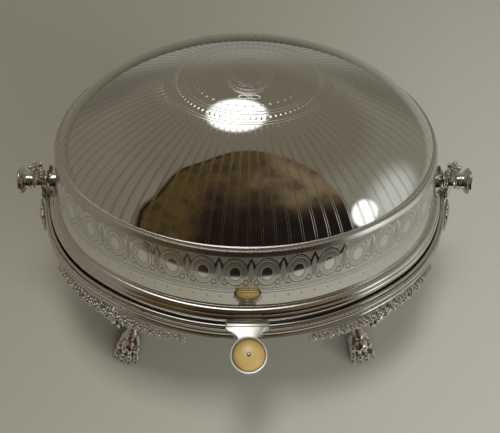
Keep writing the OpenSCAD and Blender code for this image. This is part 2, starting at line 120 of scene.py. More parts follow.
class Nodes:
    """A node tree whose numbers are Num expressions."""

    def __init__(self, tree):
        self.tree = tree
        tree.nodes.clear()

    def node(self, kind, settings=None, inputs=None):
        made = self.tree.nodes.new(kind)
        for key, value in (settings or {}).items():
            setattr(made, key, value)
        for key, value in (inputs or {}).items():
            self.feed(made.inputs[key], value)
        return made

    def feed(self, socket, value):
        if isinstance(value, Num):
            value = value.socket
        if isinstance(value, bpy.types.NodeSocket):
            self.tree.links.new(value, socket)
        elif isinstance(value, tuple) and len(value) == 3 and socket.type == "RGBA":
            socket.default_value = (*value, 1)
        else:
            socket.default_value = value

    def math(self, operation, *values):
        made = self.node("ShaderNodeMath", {"operation": operation})
        for socket, value in zip(made.inputs, values):
            self.feed(socket, value)
        return Num(self, made.outputs[0])

    def step(self, value, low, high):
        """0 below low and 1 above high, with a smooth rise between them."""
        made = self.node("ShaderNodeMapRange", {"interpolation_type": "SMOOTHSTEP"},
                         {"Value": value, "From Min": low, "From Max": high})
        return Num(self, made.outputs["Result"])

    def within(self, value, half, soft):
        """1 where value is nearer to 0 than half, fading over soft."""
        return 1 - self.step(self.math("ABSOLUTE", value), half - soft, half + soft)

    def most(self, *values):
        total = values[0]
        for value in values[1:]:
            total = self.math("MAXIMUM", total, value)
        return total

    def blend(self, factor, first, second):
        made = self.node("ShaderNodeMix", {"data_type": "RGBA"})
        self.feed(made.inputs[0], factor)
        self.feed(made.inputs[6], first)
        self.feed(made.inputs[7], second)
        return made.outputs[2]

    def coordinates(self, source):
        vector = self.node("ShaderNodeTexCoord").outputs[source]
        parts = self.node("ShaderNodeSeparateXYZ", inputs={0: vector})
        return [Num(self, parts.outputs[k]) for k in range(3)]

    def place(self):
        """x, y and z of the surface, in mm, from the object's own coordinates."""
        return [part / MM for part in self.coordinates("Object")]

    def length(self, *values):
        total = 0
        for value in values:
            total = value * value + total
        return self.math("SQRT", total)

    def repeat(self, value, shift=0.0):
        """Runs from -0.5 to 0.5 once in every unit of value; the added 100 keeps it above 0."""
        return self.math("FRACT", value + (100.5 + shift)) - 0.5

    def noise(self, scale, detail, source="Object"):
        vector = self.node("ShaderNodeTexCoord").outputs[source]
        made = self.node("ShaderNodeTexNoise", inputs={
            "Scale": scale, "Detail": detail, "Vector": vector})
        return Num(self, made.outputs["Fac"])


class Finish(Nodes):
    """One material."""

    def __init__(self, name, **constants):
        self.material = bpy.data.materials.new(name)
        self.material.use_nodes = True
        super().__init__(self.material.node_tree)
        self.shader = self.node("ShaderNodeBsdfPrincipled")
        self.out = self.node("ShaderNodeOutputMaterial",
                             inputs={"Surface": self.shader.outputs[0]})
        for socket, value in constants.items():
            self.shader.inputs[socket.replace("_", " ")].default_value = value

    def bump(self, height, strength, distance):
        made = self.node("ShaderNodeBump", inputs={
            "Strength": strength, "Distance": distance, "Height": height})
        self.feed(self.shader.inputs["Normal"], made.outputs[0])

    def surface(self, colour=None, rough=None):
        if colour is not None:
            self.feed(self.shader.inputs["Base Color"], colour)
        if rough is not None:
            self.feed(self.shader.inputs["Roughness"], rough)
        return self.material


# Colours of the plate: polished, worn, in the hollows of castings, and engraved.
BRIGHT = (0.80, 0.79, 0.765)
WORN = (0.70, 0.685, 0.645)
DARK = (0.26, 0.24, 0.19)
ENGRAVED = (0.46, 0.45, 0.42)

# The thumb disc: colours of its lighter and deeper fibres and of its edge, and its middle.
FIBRE_PALE = (0.36, 0.26, 0.095)
FIBRE_DEEP = (0.24, 0.155, 0.045)
DISC_EDGE = (0.19, 0.12, 0.03)
DISC_Y = -137


def silver(name, rough=0.07, dents=0.02):
    """Plain polished plate: faint cloudiness and hairlines from years of cleaning."""
    f = Finish(name, Metallic=1.0)
    cloud = f.noise(28.0, 4.0)
    hair = f.noise(900.0, 2.0)
    f.bump(hair + cloud * 2, dents, 0.0002)
    return f.surface(f.blend(cloud, WORN, BRIGHT), cloud * 0.05 + hair * 0.03 + (rough - 0.03))


def cast_silver(name):
    """Cast and chased plate: bright on what stands proud, darker in the hollows."""
    f = Finish(name, Metallic=1.0)
    grain = f.noise(260.0, 3.0)
    cloud = f.noise(60.0, 2.0)
    worn = f.node("ShaderNodeNewGeometry").outputs["Pointiness"]
    high = f.step(worn, 0.45, 0.53)
    f.bump(grain, 0.15, 0.0004)
    return f.surface(f.blend(high, DARK, BRIGHT), cloud * 0.06 + 0.06)


def ivory(name):
    """Ivory-coloured disc with fine fibres and a darker edge."""
    f = Finish(name, Coat_Weight=0.6, Coat_Roughness=0.08, IOR=1.54)
    x, y = f.place()[:2]
    out = f.length(x, y - DISC_Y)
    fibre = f.noise(150.0, 5.0)
    cloud = f.noise(45.0, 2.0)
    deep = f.blend(fibre, FIBRE_DEEP, FIBRE_PALE)
    edge = f.step(out, 7.0, 11.0)
    f.bump(fibre, 0.06, 0.0004)
    return f.surface(f.blend(edge * 0.55, deep, DISC_EDGE), cloud * 0.15 + 0.24)


def engraved_dome(name):
    """Dome: pairs of fine lines that run down from a ring of ornament round a vacant wreath."""
    f = Finish(name, Metallic=1.0)
    x, y, z = f.place()
    height = z - (EDGE_Z + BAND_H)
    pair, bow_y = 0.085, -17.6
    part = f.repeat(f.math("ARCTAN2", y / DOME_R, x / DOME_L) * (STRIPES / TURN), 0.5)
    oval = f.length(x / RING_L, y / RING_W)
    field = f.step(oval, 1.03, 1.05) * f.step(height + part * part * 90, 5.6, 6.3)
    lines = f.within(f.math("ABSOLUTE", part) - pair, 0.013, 0.014) * field
    ground = f.within(part, pair, 0.012) * field
    # ring of ornament: four lines, a row of struck beads and a row of dots
    polar = f.math("ARCTAN2", y / RING_W, x / RING_L) * (RING_BEADS / TURN)
    bead_r = f.length(f.repeat(polar) * 3.4, (oval - 0.905) * 37)
    bead = f.math("SQRT", f.math("MAXIMUM", 1 - bead_r * bead_r / 1.5, 0.0))
    ring_ats = (1.015, 0.975, 0.835, 0.785)
    rings = f.most(*[f.within(oval - at, 0.005, 0.005) for at in ring_ats])
    dot_r = f.length(f.repeat(polar * 0.5) * 5.0, (oval - 0.675) * 36)
    dots = 1 - f.step(dot_r, 0.35, 0.8)
    # vacant wreath in the middle, with a bow below it
    far = f.length(x, y)
    spin = f.math("ARCTAN2", y, x)
    wreath = f.most(*[f.within(far - at, 0.12, 0.16) for at in (15.6, 14.7, 12.4)])
    ticks = f.within(f.repeat(spin * (48 / TURN)), 0.16, 0.1) * f.within(far - 13.6, 0.9, 0.15)
    twist = f.math("SINE", spin * 9 + far * 1.4)
    leaves = f.within(far - 9.4 - twist * 1.3, 0.35, 0.4) * f.step(y * -1, -9.0, -6.0)
    sprigs = f.within(far - 8.2 + twist * 1.1, 0.3, 0.4) * f.step(y * -1, -7.0, -4.0)
    loop = f.length((f.math("ABSOLUTE", x) - 3.6) / 3.4, (y - bow_y) / 1.7)
    knot = f.within(f.length(x, y - bow_y) - 1.2, 0.25, 0.25)
    bow = f.most(f.within(loop - 0.85, 0.1, 0.12), knot)
    cut = f.most(lines, rings, dots, wreath * 0.9, ticks * 0.7, leaves * 0.8, sprigs * 0.7, bow)
    cloud = f.noise(26.0, 3.0)
    hair = f.noise(900.0, 2.0)
    f.bump(hair * 0.04 - cut * 0.5 + bead * 1.6, 0.4, 0.0002)
    colour = f.blend(f.most(ground * 0.42, cut * 0.5), f.blend(cloud, WORN, BRIGHT), ENGRAVED)
    return f.surface(colour, cloud * 0.03 + 0.03 + ground * 0.08 + cut * 0.42)


def engraved_band(name):
    """Frieze band: ringed ovals under round arches, leaves on darts between them, lines, dots."""
    f = Finish(name, Metallic=1.0)
    along, height = f.coordinates("UV")[:2]
    height = height * 100
    pitch, mid_h, half_x, half_y, oval_ticks = 20.7, 44.4, 6.9, 11.6, 32
    field_h, dots_h, dot_pitch = 30.0, 21.5, 8.9
    x = f.repeat(along, FRIEZE_PHASE - 0.5) * pitch
    y = height - mid_h
    q = f.length(x / half_x, y / half_y)
    turn = f.math("ARCTAN2", y / half_y, x / half_x) * (oval_ticks / TURN)
    outside = f.step(q, 1.03, 1.06)
    upper = f.step(y, -5.0, -2.0)
    from_dart = pitch / 2 - f.math("ABSOLUTE", x)
    # plain polish: the ovals, the arches over them and the pointed darts between
    dart = f.step((15.2 - y) * 0.40 - from_dart, -0.2, 0.2)
    arch = f.within(q - 1.17, 0.13, 0.02)
    polished = f.most(1 - outside, arch, dart) * f.most(upper, 1 - outside)
    # leaf on each dart, scrolls at its foot
    taper = f.math("SQRT", f.math("MAXIMUM", (11.0 - y) / 17, 0.0))
    leaf_wide = taper * 2.6 * f.step(y, -11.0, -1.0)
    leaf_shape = f.step(leaf_wide - from_dart, -0.1, 0.3)
    vein = f.within(from_dart, 0.10, 0.15) * leaf_shape
    curl = f.length((from_dart - 3.6) / 2.2, (y + 8.2) / 3.2)
    scroll = f.within(curl - 0.8, 0.12, 0.12) * outside
    wave = f.math("SINE", y * 1.5) * 0.5 + from_dart - 4.6
    tendril = f.within(wave, 0.2, 0.2) * f.step(-3.0 - y, 0.0, 1.0) * outside
    # ring round each oval, two rows of ticks inside it, lines of the arch
    rings = f.most(f.within(q - 0.985, 0.035, 0.015), f.within(q - 0.54, 0.014, 0.012))
    arch_in = f.within(q - 1.145, 0.022, 0.014) * upper
    arch_out = f.within(q - 1.31, 0.012, 0.014) * upper * (1 - dart)
    rings = f.most(rings, arch_in, arch_out)
    ticks = f.within(f.repeat(turn), 0.24, 0.1) * f.within(q - 0.64, 0.055, 0.015)
    outer_ticks = f.within(f.repeat(turn, 0.5), 0.22, 0.1) * f.within(q - 0.80, 0.055, 0.015)
    ticks = f.most(ticks, outer_ticks)
    # matt field with its hatching, lines and dots
    hatch = f.within(f.repeat(y * 0.9 + x * 0.35), 0.24, 0.12)
    field = f.step(height, field_h - 0.2, field_h + 0.3)
    line_hs = (59.4, field_h, 28.4, 26.0)
    lines = f.most(*[f.within(height - at, 0.16, 0.16) for at in line_hs])
    across = f.repeat(along * (FRIEZE_DOTS / FRIEZE_OVALS)) * dot_pitch
    dots = 1 - f.step(f.length(across, height - dots_h), 0.3, 0.75)
    matt = (1 - polished) * field * f.most(upper, 0.35)
    leaf_shape = leaf_shape * field
    cut = f.most(rings * field, ticks * 0.8, vein * field, scroll * field,
                 tendril * field * 0.5, lines, dots)
    tone = f.most(cut, matt * (0.40 + hatch * 0.16), leaf_shape * 0.55)
    cloud = f.noise(26.0, 3.0)
    f.bump(cloud * 0.05 - cut * 0.5 - matt * (0.2 + hatch * 0.3), 0.5, 0.0002)
    colour = f.blend(tone, f.blend(cloud, WORN, BRIGHT), ENGRAVED)
    return f.surface(colour, cloud * 0.02 + 0.025 + tone * 0.42)


POLISHED = silver("polished_plate")
SOFT = silver("wiped_plate", rough=0.14, dents=0.05)
BRUSHED = silver("brushed_plate", rough=0.17, dents=0.03)
RUBBED = silver("rubbed_plate", rough=0.27, dents=0.05)
CAST = cast_silver("cast_plate")
DOME_FINISH = engraved_dome("engraved_dome_plate")
BAND_FINISH = engraved_band("engraved_band_plate")
IVORY = ivory("ivory_coloured_disc")


# ---------------------------------------------------------------- shapes


def piece(bm, name, body, finish, replaces, sharp=35):
    """Turns a bmesh in mm into a finished object in metres."""
    bmesh.ops.remove_doubles(bm, verts=bm.verts, dist=0.002)
    bmesh.ops.scale(bm, vec=(MM, MM, MM), verts=bm.verts)
    bmesh.ops.recalc_face_normals(bm, faces=bm.faces)
    mesh = bpy.data.meshes.new(name)
    bm.to_mesh(mesh)
    bm.free()
    mesh.materials.append(finish)
    mesh.shade_smooth()
    mesh.set_sharp_from_angle(angle=math.radians(sharp))
    obj = bpy.data.objects.new(name, mesh)
    bpy.context.scene.collection.objects.link(obj)
    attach(obj, body)
    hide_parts(*replaces)
    return obj


def oval_at(facing, out):
    """Point of the oval moved outwards by out, where its surface faces that way."""
    c, s = math.cos(facing), math.sin(facing)
    a = math.atan2(abs(s), abs(c))
    if a < JOIN:
        x, y = END_C + (END_R + out) * math.cos(a), (END_R + out) * math.sin(a)
    else:
        x, y = (SIDE_R + out) * math.cos(a), (SIDE_R + out) * math.sin(a) - SIDE_C
    return math.copysign(x, c), math.copysign(y, s)


def girth(out):
    """Length of the oval moved outwards by out."""
    return 4 * (JOIN * (END_R + out) + (math.pi / 2 - JOIN) * (SIDE_R + out))


def facing_at(s, out):
    """Direction reached s mm along the oval moved outwards by out, from the right-hand end."""
    end, quarter = JOIN * (END_R + out), girth(out) / 4
    turns, rest = divmod(s, quarter)
    if turns % 2:
        rest = quarter - rest
    a = rest / (END_R + out) if rest < end else JOIN + (rest - end) / (SIDE_R + out)
    return (a, math.pi - a, math.pi + a, TURN - a)[int(turns) % 4]


def walk_of(x, y, out):
    """The opposite of facing_at, for a point near the oval."""
    ax, ay = abs(x), abs(y)
    a = math.atan2(ay, ax - END_C) if ax > END_C else math.pi
    if a < JOIN:
        s = a * (END_R + out)
    else:
        s = JOIN * (END_R + out) + (math.atan2(ay + SIDE_C, ax) - JOIN) * (SIDE_R + out)
    half = girth(out) / 2
    if x < 0:
        s = half - s
    return s if y >= 0 else 2 * half - s


def at_oval(facing, out, z):
    """Place on the oval moved outwards by out, with X pointing outwards."""
    x, y = oval_at(facing, out)
    return Matrix.Translation((x, y, z)) @ Matrix.Rotation(facing, 4, "Z")


def pin_axis(side):
    """Turns Z into the line of the pivots, running outwards on that side."""
    return (Matrix.Diagonal((side, 1, 1, 1)) @ Matrix.Translation((0, 0, AXIS_Z))
            @ Matrix.Rotation(math.pi / 2, 4, "Y"))


def arc(o, z, r, start, end, steps):
    """Points on an arc about (o, z), between two angles in degrees."""
    angles = [math.radians(start + (end - start) * k / steps) for k in range(steps + 1)]
    return [(o + r * math.cos(a), z + r * math.sin(a)) for a in angles]


def crown(r, z, rise, steps):
    """Points of a domed top of radius r, from its rim at height z to its middle."""
    angles = [math.radians(90 * k / steps) for k in range(steps, -1, -1)]
    return [(r * math.sin(a), z + rise * math.cos(a)) for a in angles]


def ring(bm, section, base_z=EDGE_Z):
    """Carries a closed section of (outward, height) points round the oval in four arcs."""
    c, s = math.cos(-JOIN), math.sin(-JOIN)
    verts = [bm.verts.new((END_C + (END_R + o) * c, (END_R + o) * s, base_z + z))
             for o, z in section]
    edges = [bm.edges.new((verts[k - 1], verts[k])) for k in range(len(verts))]
    geom = verts + edges
    end_turn, side_turn = 2 * JOIN, math.pi - 2 * JOIN
    for centre, turn in (((END_C, 0, 0), end_turn), ((0, -SIDE_C, 0), side_turn),
                         ((-END_C, 0, 0), end_turn), ((0, SIDE_C, 0), side_turn)):
        geom = bmesh.ops.spin(bm, geom=geom, cent=centre, axis=(0, 0, 1), angle=turn,
                              steps=ARC_STEPS, use_duplicate=False)["geom_last"]
    return bm


def lay_pattern(bm, repeats, out):
    """UV map for a band: u counts the repeats of its pattern, v is its height in 100 mm."""
    uv = bm.loops.layers.uv.new("pattern")
    per_mm = repeats / girth(out)
    for face in bm.faces:
        us = [walk_of(*loop.vert.co.xy, out) * per_mm for loop in face.loops]
        if max(us) - min(us) > repeats / 2:
            us = [u + repeats if u < repeats / 2 else u for u in us]
        for loop, u in zip(face.loops, us):
            loop[uv].uv = (u, (loop.vert.co.z - EDGE_Z) / 100)


def move_linked(bm, verts, place):
    """Moves verts, and all that is joined to them, to place."""
    linked, todo = set(verts), list(verts)
    while todo:
        for edge in todo.pop().link_edges:
            for v in edge.verts:
                if v not in linked:
                    linked.add(v)
                    todo.append(v)
    bmesh.ops.transform(bm, matrix=place, verts=list(linked))


def turned(bm, outline, place, steps=64):
    """Turns an outline of (radius, height) points a full circle about the Z axis of place."""
    verts = [bm.verts.new((r, 0, z)) for r, z in outline]
    edges = [bm.edges.new(pair) for pair in zip(verts, verts[1:])]
    last = bmesh.ops.spin(bm, geom=verts + edges, cent=(0, 0, 0), axis=(0, 0, 1), angle=TURN,
                          steps=steps, use_merge=True, use_duplicate=False)["geom_last"]
    verts = {v for part in last
             for v in ([part] if isinstance(part, bmesh.types.BMVert) else part.verts)}
    move_linked(bm, verts, place)


def turned_shell(half_l, r, centre_z, cut_z, keep_above, steps=176, rows=120):
    """A rounded shell turned about an axis along X, cut level at one height."""
    bm = bmesh.new()
    angles = [math.pi * k / rows for k in range(rows + 1)]
    verts = [bm.verts.new((half_l * math.cos(a), 0, r * math.sin(a))) for a in angles]
    edges = [bm.edges.new(pair) for pair in zip(verts, verts[1:])]
    bmesh.ops.spin(bm, geom=verts + edges, cent=(0, 0, 0), axis=(1, 0, 0), angle=TURN,
                   steps=steps, use_merge=True, use_duplicate=False)
    bmesh.ops.remove_doubles(bm, verts=bm.verts, dist=0.001)
    bmesh.ops.translate(bm, vec=(0, 0, centre_z), verts=bm.verts)
    bmesh.ops.bisect_plane(bm, geom=bm.verts[:] + bm.edges[:] + bm.faces[:],
                           plane_co=(0, 0, cut_z), plane_no=(0, 0, 1),
                           clear_inner=keep_above, clear_outer=not keep_above)
    return bm


def wall(obj, thickness):
    """Gives a shell its thickness, inwards."""
    solid = obj.modifiers.new("wall", "SOLIDIFY")
    solid.thickness, solid.offset = thickness * MM, -1.0


def block(bm, place, size, edge):
    """A block of the given sizes with its edges rounded."""
    made = bmesh.ops.create_cube(bm, size=1.0, matrix=place @ Matrix.Diagonal((*size, 1)))
    bmesh.ops.bevel(bm, geom=list({e for v in made["verts"] for e in v.link_edges}), offset=edge,
                    affect="EDGES", segments=3, profile=0.5, material=-1)


def blob(bm, place, size, detail=2):
    """A rounded lump of the given half-sizes."""
    bmesh.ops.create_icosphere(bm, subdivisions=detail, radius=1.0,
                               matrix=place @ Matrix.Diagonal((*size, 1.0)))


def limb(bm, place, stations, detail=2):
    """Overlapping balls along a line of (x, y, z, radius) stations."""
    for a, b in zip(stations, stations[1:]):
        a, b = Vector(a), Vector(b)
        steps = max(2, int((b - a).to_3d().length / (min(a.w, b.w) * 0.45)))
        for k in range(steps):
            p = a.lerp(b, k / (steps - 1))
            blob(bm, place @ Matrix.Translation(p.to_3d()), (p.w,) * 3, detail)


def leaf(bm, place, length, width, thick, curl):
    """A pointed leaf lying along X, with a raised mid-rib, notched sides and a curled tip."""
    made = bmesh.ops.create_grid(bm, x_segments=10, y_segments=6, size=0.5)
    for v in made["verts"]:
        u, w = v.co.x + 0.5, v.co.y * 2
        outline = math.sin(math.pi * min(1.0, u * 0.94 + 0.06)) ** 0.75
        notched = outline * (1 + 0.16 * math.cos(u * 22))
        rib = thick * (1.3 - abs(w) ** 0.7) * (1 - u * 0.4)
        lift = curl * length * 0.22 * math.sin(u * 2.6)
        v.co = Vector((u * length, w * width / 2 * notched, rib + lift - 0.1 * w * w * width))
    faces = list({f for v in made["verts"] for f in v.link_faces})
    bmesh.ops.solidify(bm, geom=faces, thickness=0.7)
    move_linked(bm, made["verts"], place)


def rosette(bm, place, radius):
    """A flower facing along Z of place: cupped petals round a seeded middle."""
    petals = 5
    for k in range(petals):
        a = TURN * k / petals
        petal = (place @ Matrix.Rotation(a, 4, "Z") @ Matrix.Translation((radius * 0.58, 0, 0))
                 @ Matrix.Rotation(-0.45, 4, "Y"))
        blob(bm, petal, (radius * 0.44, radius * 0.36, radius * 0.2))
        seed = (place @ Matrix.Rotation(a + 0.5, 4, "Z")
                @ Matrix.Translation((radius * 0.3, 0, radius * 0.22)))
        blob(bm, seed, (radius * 0.16,) * 3, 1)
    blob(bm, place @ Matrix.Translation((0, 0, radius * 0.25)), (radius * 0.22,) * 3)


# ---------------------------------------------------------------- the cover


def draw_out_ends(bm, share=END_DRAW):
    """Widens the cover towards its ends, from nothing at the edge to the full share at the dome."""
    for v in bm.verts:
        v.co.x *= 1 + share * min(1.0, max(0.0, (v.co.z - EDGE_Z) / BAND_H))


def make_dome():
    """The dome down to the frieze band, as one thin shell."""
    bm = turned_shell(DOME_L, DOME_R, EDGE_Z + DOME_C, EDGE_Z + BAND_H - SHEET / 2, True)
    draw_out_ends(bm, DOME_DRAW)
    wall(piece(bm, "dome", "cover", DOME_FINISH, ["cover_shell"], sharp=60), SHEET)


def make_band():
    """The sloping frieze band, with the ledge that the dome stands on."""
    foot, top, ledge = band_in(0), band_in(BAND_H), DOME_IN + 2.4
    bm = ring(bmesh.new(), [(-foot, 0), (-top, BAND_H), (-ledge, BAND_H), (-ledge, BAND_H - SHEET),
                            (-top - SHEET, BAND_H - SHEET), (-foot - SHEET, 0)])
    lay_pattern(bm, FRIEZE_OVALS, -band_in(43.6))
    draw_out_ends(bm)
    piece(bm, "frieze_band", "cover", BAND_FINISH, ["cover_shell"])


def make_edging():
    """Moulding at the cover's edge: lip, broad swell, bright shoulder and two fine beads."""
    section = [(-BAND_FOOT_IN, 0), (-0.7, 0), (-0.6, 0.4)]
    section += arc(-1.3, 1.2, 1.1, -40, 20, 5) + arc(-5.4, 2.6, 5.3, 0, 40, 6) + [(-2.1, 6.5)]
    section += arc(-6.6, 5.8, 4.6, 12, 42, 6) + arc(-5.45, 8.58, 1.6, 40, 88, 6)
    section += [(-6.3, 10.25), (-6.4, 10.6)] + arc(-6.75, 11.3, 0.62, -75, 85, 6)
    section += [(-7.15, 12.0)] + arc(-7.2, 12.75, 0.42, -80, 95, 5)
    section += [(-band_in(13.5) - 0.02, 13.5)]
    bm = ring(bmesh.new(), section)
    piece(bm, "edge_moulding", "cover", BRUSHED, ["cover_edging"], sharp=50)


def make_dome_fillets():
    """Two fine beads above a plain slope, between the frieze band and the dome."""
    section = [(-BAND_TOP_IN - 0.15, -0.05), (-BAND_TOP_IN + 0.02, 0.15), (-19.2, 2.3)]
    section += arc(-19.75, 3.0, 0.5, -40, 95, 6) + arc(-21.35, 4.85, 0.5, -60, 95, 6)
    section += [(-24.5, 5.6), (-24.5, 0.0)]
    bm = ring(bmesh.new(), section, EDGE_Z + BAND_H)
    draw_out_ends(bm)
    piece(bm, "dome_fillets", "cover", RUBBED, ["dome_fillet"], sharp=50)


def make_bush(side, name):
    """Collar on the turning bush, with a palmette that lies on the frieze band above it."""
    bm = bmesh.new()
    out = Matrix.Diagonal((side, 1, 1, 1)) @ Matrix.Translation((0, 0, AXIS_Z))
    turned(bm, [(2.55, 136.8), (4.5, 136.8), (4.5, 143), (7.2, 143), (7.5, 146), (7.5, 148.6),
                (7.1, 149.2), (6.6, 149.4), (6.9, 149.9), (6.9, 150.6), (6.4, 151.2),
                (2.55, 151.3), (2.55, 136.8)], pin_axis(side))
    for lean, length in ((-64, 6), (-32, 7), (0, 7.5), (32, 7), (64, 6)):
        place = (out @ Matrix.Rotation(math.radians(lean), 4, "X")
                 @ Matrix.Translation((147.6, 0, 5.6)) @ Matrix.Rotation(-math.radians(97), 4, "Y"))
        leaf(bm, place, length, 5.2, 0.8, 0.12)
    piece(bm, name, "cover", CAST, [name.replace("leaf_", "")], sharp=60)


def make_thumbpiece():
    """Tab, neck and cup in one casting, the domed disc and its pin."""
    tab_y, tab_z = -113, EDGE_Z
    half = [(0, -111.0), (14.9, -111.0), (15.2, -116.2), (14.9, -117.6), (13.5, -118.6),
            (10.8, -119.7), (8.8, -121.2), (7.2, -123.0), (6.5, -125.0), (6.6, -127.0), (0, -127.0)]
    outline = half + [(-x, y) for x, y in reversed(half[1:-1])]
    bm = bmesh.new()
    face = bm.faces.new([bm.verts.new((x, y, tab_z - 0.75)) for x, y in outline])
    top = bmesh.ops.extrude_face_region(bm, geom=[face])["geom"]
    lifted = [v for v in top if isinstance(v, bmesh.types.BMVert)]
    bmesh.ops.translate(bm, vec=(0, 0, 1.15), verts=lifted)
    bmesh.ops.bevel(bm, geom=[e for e in bm.edges if all(v in lifted for v in e.verts)], offset=0.5,
                    affect="EDGES", segments=3, profile=0.5, material=-1)
    # the raised bar across the tab
    block(bm, Matrix.Translation((0, -114.3, tab_z + 0.45)), (29.0, 2.6, 1.0), 0.42)
    slope = (Matrix.Translation((0, tab_y, tab_z)) @ Matrix.Rotation(math.radians(4), 4, "X")
             @ Matrix.Translation((0, -tab_y, -tab_z)))
    bmesh.ops.transform(bm, matrix=slope, verts=bm.verts)
    cup = (Matrix.Translation((0.8, -135.6, EDGE_Z - 2.4))
           @ Matrix.Rotation(math.radians(14), 4, "X"))
    turned(bm, [(0.01, -2.25), (9.8, -2.25), (11.6, -1.9), (12.5, -0.9), (12.7, 0.3), (12.65, 1.6),
                (12.3, 2.0), (11.3, 2.05), (10.95, 1.8), (10.8, 1.4), (10.8, -0.9), (0.01, -0.95)],
           cup, 72)
    piece(bm, "thumb_casting", "cover", RUBBED, ["thumb_plate"], sharp=45)
    bm = bmesh.new()
    disc_r = 10.75
    turned(bm, [(0.01, -0.9), (disc_r, -0.9), (disc_r, 1.5)] + crown(disc_r, 1.75, 3.1, 10),
           cup, 72)
    piece(bm, "thumb_ivory", "cover", IVORY, ["thumb_disc"], sharp=60)
    bm = bmesh.new()
    turned(bm, [(0.01, 4.0), (1.0, 4.0), (1.0, 5.0)] + crown(1.5, 5.1, 0.75, 6), cup, 32)
    piece(bm, "thumb_pin_head", "cover", POLISHED, ["thumb_pin"], sharp=60)


# ---------------------------------------------------------------- the base


def make_rim():
    """Rim of the base: bright roll, seat for the beads, plain band and two fillets."""
    section = [(1.5, -6.0), (0.45, -3.4)] + arc(1.6, -2.0, 1.15, 200, -20, 14)
    section += [(2.8, -3.2), (3.0, -4.9), (4.9, -5.0), (5.4, -5.4), (5.5, -9.4)]
    section += [(4.9, -9.9), (4.8, -10.4), (5.1, -10.9)] + arc(5.35, -11.9, 0.8, 75, -60, 6)
    section += arc(5.35, -13.6, 0.85, 60, -90, 6) + [(2.6, -14.5), (2.6, -6.0)]
    bm = ring(bmesh.new(), section)
    piece(bm, "rim_moulding", "base", POLISHED, ["base_rim"], sharp=55)
    bm = bmesh.new()
    for k in range(RIM_BEADS):
        facing = facing_at((k + 0.5) / RIM_BEADS * girth(BEAD_WALK_OUT), BEAD_WALK_OUT)
        bmesh.ops.create_icosphere(bm, subdivisions=2, radius=1.0,
                                   matrix=at_oval(facing, 4.15, EDGE_Z - 3.5))
    piece(bm, "rim_beads", "base", POLISHED, ["base_rim"])


def make_bowl():
    """The lower half shell that the cover rolls into."""
    bm = turned_shell(BOWL_L + SHEET, BOWL_R + SHEET, AXIS_Z, BOWL_MOUTH_Z, False, 144, 110)
    wall(piece(bm, "roll_bowl", "base", SOFT, ["bowl"], sharp=60), SHEET)


def make_knob(side, name):
    """Pivot pin and its turned knob, with a ring and a dished end."""
    bm = bmesh.new()
    end = KNOB_END_X
    neck = [(0.01, 134.1), (2.5, 134.1), (2.5, BOSS_OUT_X), (5.2, BOSS_OUT_X + 0.02),
            (5.8, BOSS_OUT_X + 0.4), (6.0, end - 9.0), (6.7, end - 8.7), (6.8, end - 8.0),
            (6.3, end - 7.6), (6.4, end - 6.0), (7.0, end - 4.6), (8.2, end - 3.4)]
    head = [(9.4, end - 2.5), (10.0, end - 1.8), (10.1, end - 1.0), (9.7, end - 0.3), (9.0, end),
            (8.2, end - 0.1), (7.6, end - 0.6), (6.4, end - 0.9), (5.2, end - 0.8),
            (3.2, end - 0.45), (0.01, end - 0.3)]
    turned(bm, neck + head, pin_axis(side), 72)
    piece(bm, name, "base", POLISHED, [name.replace("turned_knob", "pivot_pin")], sharp=40)


def make_bracket(side, name):
    """Boss with its flower and leaves, the foot on the rim and the berry sprays at its sides."""
    bm = bmesh.new()
    out = Matrix.Diagonal((side, 1, 1, 1))
    a, b = BOSS_IN_X, BOSS_OUT_X
    turned(bm, [(2.52, a), (5.3, a), (5.8, a + 0.5), (5.8, a + 1.2), (5.4, a + 1.6), (5.4, a + 2.0),
                (5.7, a + 2.4), (5.8, b - 1.6), (5.4, b - 1.2), (5.4, b - 0.9), (5.8, b - 0.5),
                (5.6, b - 0.05), (2.52, b - 0.03), (2.52, a)], pin_axis(side))
    block(bm, out @ Matrix.Translation((156.5, 0, 116.4)), (4.2, 9.0, 13.0), 1.1)
    block(bm, out @ Matrix.Translation((157.4, 0, 104.5)), (2.4, 9.0, 17.0), 0.8)
    flower = out @ Matrix.Translation((157.0, 3.0, AXIS_Z + 12.0))
    turned(bm, [(0.01, -8.0), (1.6, -8.0), (1.6, -2.0), (4.6, -1.0), (4.9, 0.0), (0.01, 0.6)],
           flower, 24)
    nodding = flower @ Matrix.Rotation(0.35, 4, "X")
    rosette(bm, nodding, 5.8)
    rosette(bm, nodding @ Matrix.Translation((0, 0, 2.0)), 3.4)
    for lean in (-25, 25):
        place = (out @ Matrix.Translation((151.0, 0, AXIS_Z))
                 @ Matrix.Rotation(math.radians(lean), 4, "X") @ Matrix.Translation((0, 0, 5.0))
                 @ Matrix.Rotation(-math.radians(55), 4, "Y"))
        leaf(bm, place, 6.5, 4.0, 0.8, 0.5)
    # berries in fours along the rim, swelling and shrinking down each spray
    for way in (-1, 1):
        for k in range(10):
            swell = 1.5 + 2.2 * math.sin(math.pi * min(1.0, (k + 0.5) / 9.5)) ** 1.5
            facing = way * (7.0 + k * 2.3) / (END_R + 8.0)
            here = out @ at_oval(facing, 7.4, EDGE_Z - 5.0 - k * 1.0)
            for berry in range(4):
                place = (here @ Matrix.Rotation(berry * TURN / 4 + k, 4, "X")
                         @ Matrix.Translation((0.3, 0, swell * 0.6)))
                blob(bm, place, (swell * 0.6,) * 3, 1)
    piece(bm, name, "base", CAST, [name.replace("cast_", "")], sharp=60)


